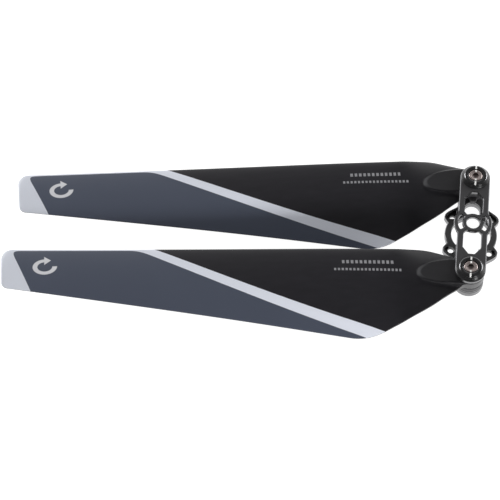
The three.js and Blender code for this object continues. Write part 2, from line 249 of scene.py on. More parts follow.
def smooth(piece, angle=CREASE):
    piece.data.polygons.foreach_set("use_smooth", [True] * len(piece.data.polygons))
    piece.data.set_sharp_from_angle(angle=math.radians(angle))
    return piece


def combine(piece, tool, operation):
    """Joins or cuts the piece by the tool, and deletes the tool."""
    modifier = piece.modifiers.new("combine", "BOOLEAN")
    modifier.operation = operation
    modifier.solver = "EXACT"
    modifier.object = tool
    graph = bpy.context.evaluated_depsgraph_get()
    result = bpy.data.meshes.new_from_object(piece.evaluated_get(graph))
    piece.modifiers.remove(modifier)
    piece.data = result
    bpy.data.objects.remove(tool)
    return smooth(piece)


# ---------- hub plates

PLATE_HALF_WIDTH = 7.75
COLLAR_OUTER = 9.85
COLLAR_INNER = 7.8
CENTRE_RING_OUTER = 5.5
CENTRE_BORE = 3.4
COUNTERBORE_RADIUS = 3.9
COUNTERBORE_FLOOR = 14.5
CLEARANCE_RADIUS = 2.2
BASE_HALF_WIDTH = 7.6
RING_OUTER = 13.6
RING_INNER = 10.25
BOLT_OFFSET = 9.9
BOLT_HOLE = 1.6
SLOT_HALF_WIDTH = 4
SLOT_CENTRE = 15.1
POCKET_FLOOR = 1.8
ARM_STEP = 0.14  # how far the arm's raised top stands back from the plate below it
ARM_ROOT = 2.4  # where the raised top starts, inside the plate below it
ARM_HOLE = 3.1
PLATE_CREASE = 30
QUARTERS = ((1, 1), (-1, 1), (-1, -1), (1, -1))
ANODISED, BRIGHT_EDGE, MACHINED, BOSS = 0, 1, 2, 3  # material slots of the hub's plates

# A pivot's boss as (radius, height), over its top and down its counterbore, and each step's finish.
BOSS_PROFILE = [(7.3, PLATE_TOP), (7.18, 15.08), (7.08, 15.2), (5.86, 17.02), (5.72, 17.15),
                (5.55, BOSS_TOP), (4.08, BOSS_TOP), (3.95, 17.15), (COUNTERBORE_RADIUS, 17.02),
                (COUNTERBORE_RADIUS, COUNTERBORE_FLOOR), (CLEARANCE_RADIUS, COUNTERBORE_FLOOR),
                (CLEARANCE_RADIUS, PLATE_BOTTOM)]
BOSS_FINISH = [BOSS] * 3 + [BRIGHT_EDGE] * 2 + [BOSS, BRIGHT_EDGE, BRIGHT_EDGE] + [ANODISED] * 3


def plate_outline():
    meet = math.sqrt(COLLAR_OUTER**2 - PLATE_HALF_WIDTH**2)
    angle = math.degrees(math.asin(meet / COLLAR_OUTER))
    quarter = arc((0, 0), COLLAR_OUTER, 0, angle, steps=12)[:-1]
    quarter += rounded_corner((PLATE_HALF_WIDTH, meet), angle)
    quarter += arc((0, PIVOT_RADIUS), PLATE_HALF_WIDTH, 0, 90, steps=24)
    return both_ways(quarter)


def rounded_corner(corner, angle, radius=1.2):
    """A small fillet where the round collar meets the straight side of the arm."""
    here = Vector(corner)
    into = Vector((math.sin(math.radians(angle)), -math.cos(math.radians(angle)))) * radius
    return eased(here + into, here, here + Vector((0, radius)), steps=6)


def arm_window(side):
    """The window on one side of the centre ring, clockwise."""
    half, end_half = 4.6, 1.6
    inner, outer, end = 6.4, 15, 18.8
    meet, meet_height = 3, 4.62  # where the window's edge comes to the centre ring
    clear_height, clear_half = 5.55, meet + 0.2  # a point past either of these is clear of the ring
    ring_angle = math.degrees(math.acos(meet / CENTRE_RING_OUTER))
    corners = [(half, inner), (half, outer), (end_half, end), (-end_half, end), (-half, outer),
               (-half, inner), (-meet, meet_height), (0, CENTRE_RING_OUTER), (meet, meet_height)]
    inner_arc = arc((0, 0), CENTRE_RING_OUTER, 180 - ring_angle, ring_angle, steps=12)
    kept = [p for p in rounded(corners, radius=0.55) if p[1] > clear_height or abs(p[0]) > clear_half]
    return at_end(kept + inner_arc, side)[::-1]


def collar_window(middle):
    half_angle = 36
    start, end = middle - half_angle, middle + half_angle
    outer = arc((0, 0), COLLAR_INNER, start, end, steps=16)
    inner = arc((0, 0), CENTRE_RING_OUTER, end, start, steps=12)
    return rounded_ends(outer, inner)[::-1]


def rounded_ends(outer, inner, radius=0.5):
    """One closed loop from two facing arcs, with its four corners eased."""
    loop = []
    for line in (outer, inner):
        first, last = Vector(line[0]), Vector(line[-1])
        into_first = (Vector(line[1]) - first).normalized() * radius
        into_last = (Vector(line[-2]) - last).normalized() * radius
        other = inner if line is outer else outer
        across_first = (Vector(other[-1]) - first).normalized() * radius
        across_last = (Vector(other[0]) - last).normalized() * radius
        for corner, a, b in ((first, across_first, into_first), (last, into_last, across_last)):
            loop += eased(corner + a, corner, corner + b, steps=5)
            if corner is first:
                loop += [p for p in line if math.dist(p, first) > radius and math.dist(p, last) > radius]
    return loop


def top_plate():
    solid = Solid()
    loops = [plate_outline(), arm_window(1), arm_window(-1), collar_window(0), collar_window(180),
             circle((0, 0), CENTRE_BORE, hole=True)]
    walls = [solid.side(loop, PLATE_BOTTOM, PLATE_TOP, low_edge=0.2, high_edge=0.4,
                        material=MACHINED, bright=BRIGHT_EDGE) for loop in loops]
    for side in (-1, 1):
        base, foot = solid.turned(BOSS_PROFILE, (0, side * PIVOT_RADIUS), BOSS_FINISH)
        walls.append((foot, base))
    low, high = zip(*walls)
    solid.caps(high, low)
    return solid.object("top_plate_fine", PLATE_CREASE)


# An ear that carries a bolt hole: where it leaves the ring's rim, its edge, and its way back to the arm.
NOTCH_ANGLE = math.degrees(math.atan2(6.2, 12.1))
LUG_EDGE = [(13.8, 8.6), (14.25, 9.6), (14.1, 10.9), (13.4, 12.1), (12.2, 13.3)]
LUG_HEEL = [(9, 15.55), (8, 16.3), (BASE_HALF_WIDTH, 17.2)]
LUG_POCKET = [(12.2, 8.4), (13, 9.7), (12.9, 10.7), (12.2, 11.7), (9, 14.3), (8.2, 13.9), (7.9, 10.6),
              (9.2, 8.6)]
INSERT_SEAT = [(3.85, 0), (3.85, 0.8), (3.05, 0.8), (3.05, RING_TOP)]


def base_outline():
    quarter = arc((0, 0), RING_OUTER, 0, NOTCH_ANGLE, steps=14)
    quarter += LUG_EDGE + LUG_HEEL
    quarter += arc((0, PIVOT_RADIUS), BASE_HALF_WIDTH, 0, 90, steps=24)
    return both_ways(quarter)


def base_opening():
    """The ring's inside and both arms' slots, as one clockwise hole."""
    meet = math.sqrt(RING_INNER**2 - SLOT_HALF_WIDTH**2)
    angle = math.degrees(math.atan2(meet, SLOT_HALF_WIDTH))
    quarter = arc((0, 0), RING_INNER, 0, angle, steps=16)
    quarter += arc((0, SLOT_CENTRE), SLOT_HALF_WIDTH, 0, 90, steps=20)
    return both_ways(quarter)[::-1]


def arm_top(side):
    """The raised top of one arm, which is shaped like a U round the end of the slot."""
    half = BASE_HALF_WIDTH - ARM_STEP
    slot = SLOT_HALF_WIDTH + ARM_STEP
    inner = RING_INNER + ARM_STEP
    outer_angle = math.degrees(math.acos(half / inner))
    slot_angle = math.degrees(math.acos(slot / inner))
    loop = arc((0, PIVOT_RADIUS), half, 0, 180, steps=48)
    loop += arc((0, 0), inner, 180 - outer_angle, 180 - slot_angle, steps=6)
    loop += arc((0, SLOT_CENTRE), slot, 180, 0, steps=40)
    loop += arc((0, 0), inner, slot_angle, outer_angle, steps=6)
    return at_end(loop, side)


def base_plate():
    solid = Solid()
    walls = [solid.side(loop, 0, RING_TOP, low_edge=0.25, high_edge=0.35,
                        material=MACHINED, bright=BRIGHT_EDGE) for loop in (base_outline(), base_opening())]
    for x, y in QUARTERS:
        pocket = [(x * px, y * py) for px, py in rounded(LUG_POCKET, radius=0.5)]
        if x * y > 0:
            pocket.reverse()
        pocket_floor, rim = solid.side(pocket, POCKET_FLOOR, RING_TOP, low_edge=0, high_edge=0.18,
                                       material=ANODISED, bright=BRIGHT_EDGE)
        bolt = circle((x * BOLT_OFFSET, y * BOLT_OFFSET), BOLT_HOLE, hole=True, segments=FINE // 2)
        foot, mouth = solid.side(bolt, 0, POCKET_FLOOR, low_edge=0.12, high_edge=0.12)
        solid.cap([pocket_floor, mouth])
        walls.append((foot, rim))
    for side in (-1, 1):
        walls.append(solid.turned(INSERT_SEAT, (0, side * PIVOT_RADIUS)))
    low, high = zip(*walls)
    solid.caps(high, low)
    base = solid.object("base_plate_fine")
    for side in (-1, 1):
        arm = Solid()
        hole = circle((0, side * PIVOT_RADIUS), ARM_HOLE, hole=True)
        low, high = zip(arm.side(arm_top(side), ARM_ROOT, ARM_TOP, low_edge=0, high_edge=0.3,
                                 material=MACHINED, bright=BRIGHT_EDGE),
                        arm.side(hole, ARM_ROOT, ARM_TOP, low_edge=0, high_edge=0))
        arm.caps(high, low)
        combine(base, arm.object("arm_top"), "UNION")
    return smooth(base, PLATE_CREASE)


# ---------- pivot hardware


SHANK_RADIUS = 2
SCREW_BOTTOM = 0.8
HEAD_RADIUS = 3.5
HEAD_BOTTOM = 14.8
SCREW_PROFILE = [(0, SCREW_BOTTOM), (1.62, SCREW_BOTTOM), (SHANK_RADIUS, 1.18), (SHANK_RADIUS, HEAD_BOTTOM),
                 (3.32, HEAD_BOTTOM), (HEAD_RADIUS, 14.98), (HEAD_RADIUS, 16.55), (3.43, 16.78),
                 (3.28, 16.93), (3.1, HEAD_TOP), (2.55, HEAD_TOP), (2.45, 16.96)]
SCREW_CREASE = 32
# The socket's faces take a darker steel than the head: painted shade for the recess.
SOCKET = 1  # material slot of a screw's socket
SOCKET_HALF_FLATS = 1.5
SOCKET_BEVEL = 0.14
SOCKET_HEIGHTS = (16.96, 16.82, 15.7)  # of the bevel's rim, the bevel's foot and the end of the flats
SOCKET_POINT = 15.2
BORE_RADIUS = 2.05  # of what the screw's shank passes through
SLEEVE_OUTER = 3
BUSH_BORE = 3.08
BUSH_OUTER = 4.2
WASHER_RADIUS = 7.5
WASHER_BORE = 3.2
KEY_HALF_WIDTH = 1.9
KEY_REACH = 9.9  # from the pivot, towards the motor axis
INSERT_PROFILE = [(BORE_RADIUS, 0.25), (2.3, 0), (3.68, 0), (3.8, 0.12), (3.8, 0.64), (3.7, 0.75), (3, 0.75),
                  (3, 4.4), (2.9, ARM_TOP), (2.15, ARM_TOP), (BORE_RADIUS, 4.4)]


def pivot_screw(end):
    """A low-head socket screw: rounded head, hexagon socket, and a pointed socket floor."""
    y = ENDS[end] * PIVOT_RADIUS
    solid = Solid()
    _, rim = solid.turned(SCREW_PROFILE, (0, y))
    corner = SOCKET_HALF_FLATS / math.cos(math.pi / HEXAGON)
    rings = []
    for radius, height in zip((corner + SOCKET_BEVEL, corner, corner), SOCKET_HEIGHTS):
        rings.append(solid.ring(circle((0, y), radius, segments=HEXAGON), height))
    solid.cap([rim, rings[0]])
    solid.wall(rings[:2])
    solid.wall(rings[1:], SOCKET)
    point = solid.vert(0, y, SOCKET_POINT)
    for i in range(HEXAGON):
        solid.bm.faces.new((rings[-1][i], rings[-1][(i + 1) % HEXAGON], point)).material_index = SOCKET
    return solid.object(f"screw_{end}", SCREW_CREASE)


def turned_piece(name, end, profile):
    """A closed profile, turned about a pivot."""
    solid = Solid()
    solid.turned(profile + profile[:1], (0, ENDS[end] * PIVOT_RADIUS))
    return solid.object(name)


def turned_ring(name, end, inner, outer, bottom, top, edge):
    corners = [(inner, bottom), (outer, bottom), (outer, top), (inner, top)]
    return turned_piece(f"{name}_{end}_fine", end, rounded(corners, edge, steps=4))


def keyed_washer(end):
    """The washer under a blade's root, whose key points to the motor axis."""
    side = ENDS[end]
    meet = math.degrees(math.acos(KEY_HALF_WIDTH / WASHER_RADIUS))
    loop = arc((0, 0), WASHER_RADIUS, -meet, 180 + meet, steps=72)
    loop += arc((0, KEY_HALF_WIDTH - KEY_REACH), KEY_HALF_WIDTH, 180, 360, steps=20)
    loop = at_end([(x, y + PIVOT_RADIUS) for x, y in loop], side)
    bore = circle((0, side * PIVOT_RADIUS), WASHER_BORE, hole=True)
    solid = Solid()
    low, high = zip(solid.side(loop, ARM_TOP, LOWER_WASHER_TOP, low_edge=0.15, high_edge=0.2),
                    solid.side(bore, ARM_TOP, LOWER_WASHER_TOP, low_edge=0.1, high_edge=0.1))
    solid.caps(low, high)
    return solid.object(f"keyed_washer_{end}", PLATE_CREASE)


# ---------- blade

INSET = 0.03  # the drawn blade is this much inside the CAD blade
BLADE_LENGTH = 533.4 / 2 - PIVOT_RADIUS - INSET
BLADE_MID_HEIGHT = 8.8
PITCH = 9 * 25.4
MOST_PITCH_ANGLE = 20
TWIST_START = 12  # from the pivot; the root is flat up to here
TWIST_LENGTH = 26
PITCH_LIMIT_SHARPNESS = 6.0
LEADING_AT_PIVOT = -12.25  # the straight leading edge, carried back to the pivot
LEADING_SLOPE = -0.0553
NECK_DEPTH = 4.95  # how far the leading edge draws in at the pivot
NECK_LENGTH = 34
LEADING_BLEND = 0.8  # rounds the corner between the leading edge and the barrel
BARREL_HANDOVER = 0.6  # how far each side of the pivot the leading edge takes over from the barrel
FLARE_START = 10  # from the pivot, on the line along which the trailing edge widens
FLARE_AT_START = 9.8
FLARE_SLOPE = 0.463
TAPER_START = 66  # from the pivot, where the trailing edge starts its taper
TAPER_AT_START = 27.8
TAPER_SLOPE = -0.1798
TAPER_BEND = -4.5e-5
FLARE_TAPER_BLEND = 6
TRAILING_BLEND = 1.6  # rounds the corner between the trailing edge and the barrel
ROOT_RADIUS = 7.5
BUSH_HOLE = 4.25
OVERSHOOT = 2
BLADE_CREASE = 38
BLADE_WELD = 2e-6  # metres
SLIVER_LENGTH = 1e-7  # metres
ROOT_THICKNESS = 5.6
TIP_THICKNESS = 1.4
THINNING_POWER = 1.6  # how quickly the thickness falls from root to tip
TIP_CLOSING = 0.8  # over this last length, the tip's edge rounds off to nothing
EDGE_THICKNESS = 0.5
EDGE_ROUNDING = EDGE_THICKNESS / 3  # how far before the trailing edge it starts to round off
MOST_EDGE_ROUNDING = 0.8  # leaves the trailing edge a narrow flat
ROOT_EDGE_GAIN = 0.8  # the trailing edge is this much thicker where it leaves the barrel
ROOT_EDGE_FADE = 40  # over which that is lost, from the twist's start
CAMBER = 0.035
FULL_CAMBER_REACH = 60
SHOULDER_REACH = 19  # where the shoulder stands out most from the straight edges
SHOULDER_SPREAD = 9.5
SHOULDER_GAIN = 0.11
TIP_LEADING_RADIUS = 5.7
TIP_TRAILING_RADIUS = 2.8
TONGUE_CENTRE = -0.9
TONGUE_STRAIGHT = 9
TONGUE_REACH = 27.3
TONGUE_HALF_WIDTH = 7
TONGUE_ROOT_HALF_WIDTH = 7.4  # at the pivot, where the tongue leaves the barrel
BEHIND_PIVOT_GAIN = 3  # how fast a point behind the pivot counts as outside the tongue
PAD_RIM = 0.7  # radius of the pad's rounded rim
PAD_SIDE_SLOPE = 1.3
BEVEL_DEPTH = 0.95
BEVEL_WIDTH = 2.4
BEVEL_START = 18  # the rim turns into the soft bevel from here along the tongue,
BEVEL_RAMP = 7
BEVEL_SIDE = TONGUE_CENTRE + 4  # and from here towards the leading edge
BEVEL_SIDE_RAMP = 5
PAD_FILLET = 1.1  # between the pad and the wing
LEAST_FILLET = 1e-3
PAD_FADE_START = 32  # from the pivot; the pad's fillet narrows to nothing past here
PAD_FADE = 8
WING_ROOM_START = 0.2  # the wing may stand past the pad's faces from this far outside it,
WING_ROOM_SLOPE = 1.6  # and by this much more with each millimetre
PAINTED, MOULDED = 0, 1  # material slots of a blade


def smoothstep(x):
    x = np.clip(x, 0, 1)
    return x * x * (3 - 2 * x)


def soft_low(a, b, width):
    share = np.maximum(width - np.abs(a - b), 0) / width
    return np.minimum(a, b) - share * share * width / 4


def soft_high(a, b, width):
    return -soft_low(-a, -b, width)


def tip_corner(u, radius):
    past = np.clip(u - (BLADE_LENGTH - radius), 0, radius)
    return radius - np.sqrt(radius**2 - past**2)


def shoulder(u):
    return 1 + SHOULDER_GAIN * np.exp(-(((u - SHOULDER_REACH) / SHOULDER_SPREAD) ** 2))


def barrel_half_width(u):
    return np.sqrt(np.maximum(ROOT_RADIUS**2 - u**2, 0))


def leading_edge(u):
    neck = NECK_DEPTH * np.maximum(1 - u / NECK_LENGTH, 0) ** 3
    wing = (LEADING_AT_PIVOT + LEADING_SLOPE * u + neck) * shoulder(u) + INSET
    barrel = -barrel_half_width(u)
    joined = soft_low(wing, barrel, LEADING_BLEND)
    crossing = barrel + (joined - barrel) * (u + BARREL_HANDOVER) / (2 * BARREL_HANDOVER)
    behind = np.where(u < -BARREL_HANDOVER, barrel, crossing)
    return np.where(u > BARREL_HANDOVER, joined, behind) + tip_corner(u, TIP_LEADING_RADIUS)


def trailing_edge(u):
    flare = FLARE_AT_START + FLARE_SLOPE * (u - FLARE_START)
    past = u - TAPER_START
    taper = TAPER_AT_START + TAPER_SLOPE * past + TAPER_BEND * past**2
    wing = soft_low(flare, taper, FLARE_TAPER_BLEND) * shoulder(u) - INSET
    barrel = barrel_half_width(u)
    joined = np.where(u < ROOT_RADIUS, soft_high(wing, barrel, TRAILING_BLEND), wing)
    return np.where(u < 0, barrel, joined) - tip_corner(u, TIP_TRAILING_RADIUS)


def pitch_angle(u):
    """A screw of constant pitch, with a soft limit, fading out at the root."""
    helix = np.degrees(np.arctan(PITCH / (2 * math.pi * (np.maximum(u, 0) + PIVOT_RADIUS))))
    power = -PITCH_LIMIT_SHARPNESS
    limited = (helix**power + MOST_PITCH_ANGLE**power) ** (1 / power)
    return np.radians(limited * smoothstep((u - TWIST_START) / TWIST_LENGTH))


def wing_heights(u, v, low, high):
    """The top and the underside of the wing section."""
    x = np.clip((v - low) / np.maximum(high - low, SAME_POINT), 0, 1)
    # The usual four-digit wing section: its thickness curve, on a parabolic camber line.
    shape = 0.2969 * np.sqrt(x) - 0.126 * x - 0.3516 * x**2 + 0.2843 * x**3 - 0.1036 * x**4
    reach = np.clip(u / BLADE_LENGTH, 0, 1)
    thickness = TIP_THICKNESS + (ROOT_THICKNESS - TIP_THICKNESS) * (1 - reach) ** THINNING_POWER
    past = np.clip((u - (BLADE_LENGTH - TIP_CLOSING)) / TIP_CLOSING, 0, 1)
    rim = (EDGE_THICKNESS + ROOT_EDGE_GAIN * (1 - smoothstep((u - TWIST_START) / ROOT_EDGE_FADE))) / 2
    late = np.clip(1 - (high - v) / EDGE_ROUNDING, 0, MOST_EDGE_ROUNDING)
    half = (5 * thickness * shape + x * rim) * np.sqrt(1 - past**2) * np.sqrt(1 - late**2)
    pitch = pitch_angle(u)
    camber = CAMBER * smoothstep(u / FULL_CAMBER_REACH)
    middle = BLADE_MID_HEIGHT - v * np.tan(pitch) + 4 * camber * (high - low) * x * (1 - x)
    return middle + half / np.cos(pitch), middle - half / np.cos(pitch)


def tongue_sides(u):
    """Where the tongue's two straight sides run, from the barrel to its rounded nose."""
    share = np.clip(u / TONGUE_STRAIGHT, 0, 1)
    half = TONGUE_ROOT_HALF_WIDTH
    low = -half + (half + TONGUE_CENTRE - TONGUE_HALF_WIDTH) * share
    high = half + (TONGUE_CENTRE + TONGUE_HALF_WIDTH - half) * share
    return low, high


def outside_pad(u, v):
    """How far a point is outside the root's flat pad: the barrel, and the tongue that runs from it."""
    barrel = np.hypot(u, v) - ROOT_RADIUS
    low, high = tongue_sides(u)
    straight = np.maximum(np.maximum(low - v, v - high), -u * BEHIND_PIVOT_GAIN)
    a, b = TONGUE_REACH - TONGUE_STRAIGHT, TONGUE_HALF_WIDTH
    x, y = np.maximum(u - TONGUE_STRAIGHT, 0), v - TONGUE_CENTRE
    q = np.maximum(np.sqrt((x / a) ** 2 + (y / b) ** 2), SAME_POINT)
    slope = np.sqrt((x / a**2) ** 2 + (y / b**2) ** 2) / q
    nose = (q - 1) / np.maximum(slope, SAME_POINT)
    return np.minimum(barrel, np.where(u < TONGUE_STRAIGHT, straight, nose))


def pad_drop(outside, bevel):
    """How far the pad's surface has fallen away from flat: a round rim or a soft bevel, then steep."""
    rim = PAD_RIM - np.sqrt(PAD_RIM**2 - np.clip(outside + PAD_RIM, 0, PAD_RIM) ** 2)
    soft = BEVEL_DEPTH * np.clip(outside / BEVEL_WIDTH + 1, 0, 1) ** 2
    return rim + (soft - rim) * bevel + PAD_SIDE_SLOPE * np.maximum(outside, 0)


def blade_heights(u, v, low, high):
    top, bottom = wing_heights(u, v, low, high)
    outside = outside_pad(u, v)
    bevel = smoothstep((u - BEVEL_START) / BEVEL_RAMP) * smoothstep((BEVEL_SIDE - v) / BEVEL_SIDE_RAMP)
    drop = pad_drop(outside, bevel)
    fillet = np.maximum(PAD_FILLET * (1 - smoothstep((u - PAD_FADE_START) / PAD_FADE)), LEAST_FILLET)
    near_root = u < PAD_FADE_START + PAD_FADE
    top = np.where(near_root, soft_high(top, ROOT_TOP - drop, fillet), top)
    bottom = np.where(near_root, soft_low(bottom, ROOT_BOTTOM + drop, fillet), bottom)
    room = WING_ROOM_SLOPE * np.maximum(outside - WING_ROOM_START, 0)
    return np.minimum(top, ROOT_TOP + room), np.maximum(bottom, ROOT_BOTTOM - room)


def stations():
    """Where the sections stand: close together at the root, then wider, and close again at the tip."""
    fine_step, fine_end = 0.3, 34
    first_gap, last_gap, gaps = 0.4, 3.6, 92
    clear_of_tip = 2
    root = -ROOT_RADIUS * np.cos(np.linspace(0.0, math.pi / 2, 30))
    fine = np.arange(fine_step, fine_end, fine_step)
    middle = fine_end + np.cumsum(np.linspace(first_gap, last_gap, gaps))
    middle = middle[middle < BLADE_LENGTH - TIP_LEADING_RADIUS - clear_of_tip]
    corner = BLADE_LENGTH - TIP_LEADING_RADIUS * (1 - np.sin(np.linspace(0, math.pi / 2, 22)))
    return np.concatenate([root, fine, middle, corner])


def columns(u, low, high):
    """Places across the blade, gathered at both edges and along the sides of the tongue."""
    least_narrowing = 0.23
    spread_length = 30  # past the tongue, over which the places spread out over the chord
    edge_steps, band_steps, middle_steps = 20, 9, 26
    chord = high - low
    x = np.clip((u - TONGUE_STRAIGHT) / (TONGUE_REACH - TONGUE_STRAIGHT), 0, 1)
    narrowing = max(math.sqrt(1 - x * x), least_narrowing)
    spread = smoothstep((u - TONGUE_REACH) / spread_length)
    low_side, high_side = (TONGUE_CENTRE + (side - TONGUE_CENTRE) * narrowing for side in tongue_sides(u))
    left = low_side * (1 - spread) + (low + 0.3 * chord) * spread
    right = high_side * (1 - spread) + (low + 0.6 * chord) * spread
    left = min(max(left, low + 0.2 * chord), low + 0.45 * chord)
    right = max(min(right, high - 0.2 * chord), low + 0.55 * chord)
    band = min(0.9, 0.06 * chord)  # half the width of the band of close places at each side
    towards_edge = 1 - np.cos(np.linspace(0, math.pi / 2, edge_steps))
    parts = [
        low + (left - band - low) * towards_edge[:-1],
        np.linspace(left - band, left + band, band_steps)[:-1],
        np.linspace(left + band, right - band, middle_steps)[:-1],
        np.linspace(right - band, right + band, band_steps)[:-1],
        high - (high - right - band) * towards_edge[::-1],
    ]
    return np.concatenate(parts)


def blade_mesh():
    """One closed moulding, as a loop of points round each section from the root's end to the tip."""
    wall_steps = 4
    share = np.linspace(0, 1, wall_steps + 2)[1:-1]
    places = stations()
    low, high = leading_edge(places), trailing_edge(places)
    loops = []
    for u, a, b in zip(places, low, high):
        v = columns(u, a, b)
        top, bottom = blade_heights(np.full_like(v, u), v, a, b)
        back_wall = [(b, t) for t in top[-1] + (bottom[-1] - top[-1]) * share]
        front_wall = [(a, t) for t in bottom[0] + (top[0] - bottom[0]) * share]
        loop = list(zip(v, top)) + back_wall + list(zip(v[::-1], bottom[::-1])) + front_wall
        loops.append([(u, y, z) for y, z in loop])
    across = len(v)
    around = len(loops[0])
    solid = Solid()
    rings = [[solid.vert(*point) for point in loop] for loop in loops]
    for near, far in zip(rings, rings[1:]):
        for i in range(around):
            j = (i + 1) % around
            face = solid.bm.faces.new((near[i], near[j], far[j], far[i]))
            face.material_index = PAINTED if i < across - 1 else MOULDED
    bmesh.ops.remove_doubles(solid.bm, verts=solid.bm.verts, dist=BLADE_WELD)
    bmesh.ops.dissolve_degenerate(solid.bm, edges=solid.bm.edges, dist=SLIVER_LENGTH)
    blade = solid.object("blade_mesh")
    drill = Solid()
    heights = (ROOT_BOTTOM - OVERSHOOT, ROOT_TOP + OVERSHOOT)
    foot, head = drill.turned([(BUSH_HOLE, height) for height in heights])
    drill.caps([foot], [head])
    combine(blade, drill.object("drill"), "DIFFERENCE")
    return smooth(blade, BLADE_CREASE)


# ---------- materials


def blade_turn(end):
    """The turn about Z from the row frame to a blade's own frame."""
    return math.radians(180 + FOLD_PAST_X[end])


def rgba(colour):
    """A plain colour with its alpha; one that comes from a node stays as it is."""
    return colour if isinstance(colour, bpy.types.NodeSocket) else (*colour, 1)


class Nodes:
    """Short names for the node types that materials and the world are made of."""

    def __init__(self, owner, end=None, place="Object"):
        owner.use_nodes = True
        self.owner = owner
        self.tree = owner.node_tree
        self.shader = self.tree.nodes.get("Principled BSDF")
        self.place = self.node("TexCoord").outputs[place]
        if end:
            local = self.node("Mapping")
            local.vector_type = "TEXTURE"
            local.inputs["Location"].default_value = (0, ENDS[end] * PIVOT_RADIUS * MM, 0)
            local.inputs["Rotation"].default_value = (0, 0, blade_turn(end))
            self.link(self.place, local.inputs["Vector"])
            self.place = local.outputs[0]

    def node(self, kind):
        return self.tree.nodes.new("ShaderNode" + kind)

    def link(self, value, socket):
        if isinstance(value, bpy.types.NodeSocket):
            self.tree.links.new(value, socket)
        else:
            socket.default_value = value

    def math(self, operation, *values, clamp=False):
        node = self.node("Math")
        node.operation = operation
        node.use_clamp = clamp
        for value, socket in zip(values, node.inputs):
            self.link(value, socket)
        return node.outputs[0]

    def chain(self, operation, values):
        """A two-value operation, carried along a row of values."""
        total = values[0]
        for value in values[1:]:
            total = self.math(operation, total, value)
        return total

    def add(self, *values):
        return self.chain("ADD", values)

    def lowest(self, *values):
        return self.chain("MINIMUM", values)

    def highest(self, *values):
        return self.chain("MAXIMUM", values)

    def size(self, value):
        return self.math("ABSOLUTE", value)

    def length(self, x, y):
        return self.math("SQRT", self.add(self.times(x, x), self.times(y, y)))

    def times(self, a, b):
        return self.math("MULTIPLY", a, b)

    def less(self, a, b):
        return self.math("SUBTRACT", a, b)

    def axes(self):
        node = self.node("SeparateXYZ")
        self.link(self.place, node.inputs[0])
        return node.outputs

    def axes_mm(self):
        return [self.times(axis, 1 / MM) for axis in self.axes()]

    def noise(self, size_mm, detail=3, roughness=0.5, stretch=None):
        """Noise whose features are about size_mm across."""
        node = self.node("TexNoise")
        place = self.place
        if stretch:
            mapping = self.node("Mapping")
            self.link(place, mapping.inputs["Vector"])
            mapping.inputs["Scale"].default_value = stretch
            place = mapping.outputs[0]
        self.link(place, node.inputs["Vector"])
        node.inputs["Scale"].default_value = 1 / (size_mm * MM)
        node.inputs["Detail"].default_value = detail
        node.inputs["Roughness"].default_value = roughness
        return node.outputs[0]

    def span(self, value, low, high, start=0, end=1, ramp="LINEAR"):
        """Runs from low to high while the value runs from start to end."""
        node = self.node("MapRange")
        node.interpolation_type = ramp
        self.link(value, node.inputs["Value"])
        for key, number in (("From Min", start), ("From Max", end), ("To Min", low), ("To Max", high)):
            node.inputs[key].default_value = number
        return node.outputs[0]

    def mix(self, share, a, b, blend="MIX"):
        node = self.node("Mix")
        node.data_type = "RGBA"
        node.blend_type = blend
        self.link(share, node.inputs["Factor"])
        for value, socket in ((a, node.inputs["A"]), (b, node.inputs["B"])):
            self.link(rgba(value), socket)
        return node.outputs["Result"]

    def shade(self, colour, factor):
        """The colour made darker or lighter by a number from the surface."""
        return self.mix(1, colour, factor, blend="MULTIPLY")

    def bump(self, height, depth_mm, strength=1.0, under=None):
        node = self.node("Bump")
        node.inputs["Strength"].default_value = strength
        node.inputs["Distance"].default_value = depth_mm * MM
        self.link(height, node.inputs["Height"])
        if under:
            self.link(under, node.inputs["Normal"])
        return node.outputs[0]

    def inside(self, distance, edge=0.12):
        """1 where a distance in mm is positive and 0 where it is negative."""
        return self.math("ADD", self.math("DIVIDE", distance, edge), 0.5, clamp=True)

    def finish(self, colour, roughness, normal=None, **settings):
        self.link(rgba(colour), self.shader.inputs["Base Color"])
        self.link(roughness, self.shader.inputs["Roughness"])
        if normal:
            self.link(normal, self.shader.inputs["Normal"])
        for key, value in settings.items():
            self.shader.inputs[key.replace("_", " ")].default_value = value
        return self.owner


def new_material(name, end=None):
    return Nodes(bpy.data.materials.new(name), end)


BLACK = (0.0175, 0.0168, 0.0200)
# A paler black, painted on the bevel round the tongue's nose as a painted highlight.
PAINTED_HIGHLIGHT_BLACK = (0.058, 0.058, 0.062)
RAW_BLACK = (0.036, 0.0355, 0.0375)  # of the unpainted composite
SLATE = (0.066, 0.076, 0.105)
SILVER = (0.53, 0.55, 0.605)
MARKING = (0.60, 0.60, 0.62)
FAINT_MARKING = (0.27, 0.27, 0.285)
WHITE_PAINT = (0.85, 0.85, 0.83)
ANODISED_FACE = (0.021, 0.0206, 0.0225)
ANODISED_EDGE = (0.26, 0.26, 0.27)
ANODISED_SIDE = (0.235, 0.235, 0.24)
ANODISED_BOSS = (0.010, 0.010, 0.0105)
HEAD_STEEL = (0.43, 0.37, 0.355)
# A darker steel for the screw's socket, as painted shade in the recess.
SOCKET_PAINTED_SHADE = (0.32, 0.27, 0.26)
STEEL = (0.44, 0.42, 0.41)
BRONZE = (0.45, 0.30, 0.14)
NYLON = (0.052, 0.051, 0.054)

# The sweep's edges, on the root's side and on the tip's side.
BLACK_EDGE = {"start": 63.5, "height": 19.9, "slope": -0.382, "bend": -0.000884, "finish": 114}
PANEL_EDGE = {"start": 55.2, "height": 28.4, "slope": -0.3925, "bend": -0.0008, "finish": 118}
SWEEP_SLANT = 0.915  # from a distance along v to one across the sweep's edges
PANEL_BORDER = 0.95  # silver left showing along the leading edge
TIP_LINE_START = 222.9  # where the panel ends, at v = 0
TIP_LINE_SLOPE = -0.436
TIP_LINE_SLANT = 0.917
SWEEP_CORNER, TIP_CORNER = 3.2, 5.5  # widths of the panel's rounded corners

